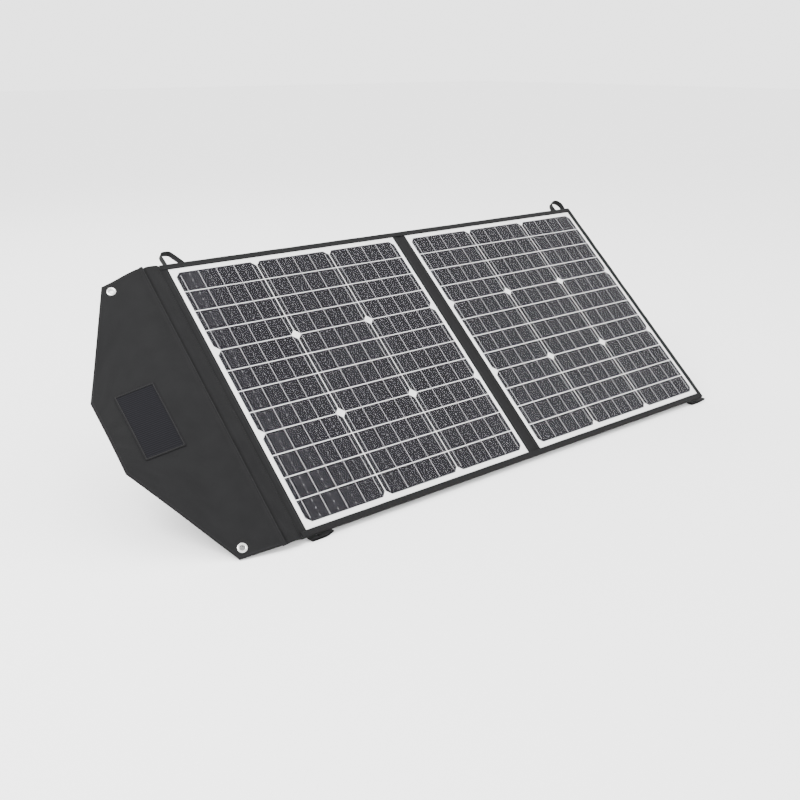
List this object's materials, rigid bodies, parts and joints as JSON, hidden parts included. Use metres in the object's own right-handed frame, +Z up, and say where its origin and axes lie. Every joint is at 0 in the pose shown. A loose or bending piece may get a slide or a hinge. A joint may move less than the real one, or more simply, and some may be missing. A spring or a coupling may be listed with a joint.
{
  "type": "folding solar panel",
  "caption": "Folding fabric solar panel with stiffened modules of cut cells and a tapered closing flap with eyelets, standing tilted on hinged rear legs.",
  "frame": {"origin": "middle of the standing panel's box, on the ground", "axes": "+X along the long edge, to the right when facing the lit side; +Y away from the lit side; +Z up"},
  "size_m": [1.226, 0.4258, 0.382],
  "materials": {
    "black_fabric": "matte woven",
    "binding": "ribbed tape",
    "webbing": "woven tape",
    "stiffener": "matte",
    "white_backsheet": "satin",
    "silicon_cell": "satin",
    "clear_film": "dimpled clear",
    "hook_and_loop": "matte pile",
    "eyelet_metal": "bright nickel",
    "black_plastic": "satin",
    "foot_rubber": "matte"
  },
  "bodies": {
    "left_panel": {"left_front_border": "black_fabric", "left_clear_film": "clear_film", "left_cell_string_1": "silicon_cell", "left_cell_string_2": "silicon_cell", "left_cell_string_3": "silicon_cell", "left_white_backsheet": "white_backsheet", "left_stiffener_board": "stiffener", "left_rear_cover": "black_fabric", "left_top_binding": "binding", "left_bottom_binding": "binding", "left_top_loop": "webbing", "left_bottom_loop": "webbing", "left_kickstand_hinge_tape": "webbing", "left_kickstand_stay": "webbing", "left_junction_box": "black_plastic", "left_junction_box_lid": "black_plastic", "left_cable_gland": "black_plastic", "centre_hinge_strip": "black_fabric", "spine_inner_seam": "black_fabric"},
    "right_panel": {"right_front_border": "black_fabric", "right_clear_film": "clear_film", "right_cell_string_1": "silicon_cell", "right_cell_string_2": "silicon_cell", "right_cell_string_3": "silicon_cell", "right_white_backsheet": "white_backsheet", "right_stiffener_board": "stiffener", "right_rear_cover": "black_fabric", "right_top_binding": "binding", "right_bottom_binding": "binding", "right_top_loop": "webbing", "right_bottom_loop": "webbing", "right_kickstand_hinge_tape": "webbing", "right_kickstand_stay": "webbing", "right_junction_box": "black_plastic", "right_junction_box_lid": "black_plastic", "right_cable_gland": "black_plastic", "right_side_binding": "binding", "accessory_pouch": "black_fabric", "pouch_loop_patch": "hook_and_loop"},
    "spine": {"spine_front_fabric": "black_fabric", "spine_rear_fabric": "black_fabric", "spine_outer_seam": "black_fabric"},
    "closing_flap": {"flap_front_fabric": "black_fabric", "flap_board": "stiffener", "flap_rear_fabric": "black_fabric", "flap_hook_patch": "hook_and_loop", "upper_eyelet_ring": "eyelet_metal", "upper_eyelet_washer": "eyelet_metal", "lower_eyelet_ring": "eyelet_metal", "lower_eyelet_washer": "eyelet_metal"},
    "left_leg": {"left_kickstand_leg": "black_fabric", "left_kickstand_foot": "foot_rubber"},
    "right_leg": {"right_kickstand_leg": "black_fabric", "right_kickstand_foot": "foot_rubber"}
  },
  "joints": [
    {"name": "centre_fold", "type": "hinge", "parent": "left_panel", "child": "right_panel", "pos_m": [0.09703, -0.01374, 0.18804], "axis": [0, -0.7478, -0.6639], "range_deg": [0, 179.9], "deforming": ["centre_hinge_strip"]},
    {"name": "spine_fold", "type": "hinge", "parent": "left_panel", "child": "spine", "pos_m": [-0.42197, -0.01221, 0.18632], "axis": [0, 0.7478, 0.6639], "range_deg": [0, 90]},
    {"name": "flap_fold", "type": "hinge", "parent": "spine", "child": "closing_flap", "pos_m": [-0.45497, -0.01221, 0.18632], "axis": [0, 0.7478, 0.6639], "range_deg": [0, 104]},
    {"name": "left_leg_fold", "type": "hinge", "parent": "left_panel", "child": "left_leg", "pos_m": [-0.14847, 0.04691, 0.22516], "axis": [-1, 0, 0], "range_deg": [0, 70], "deforming": ["left_kickstand_stay"]},
    {"name": "right_leg_fold", "type": "hinge", "parent": "right_panel", "child": "right_leg", "pos_m": [0.34253, 0.04691, 0.22516], "axis": [-1, 0, 0], "range_deg": [0, 70], "deforming": ["right_kickstand_stay"]}
  ]
}
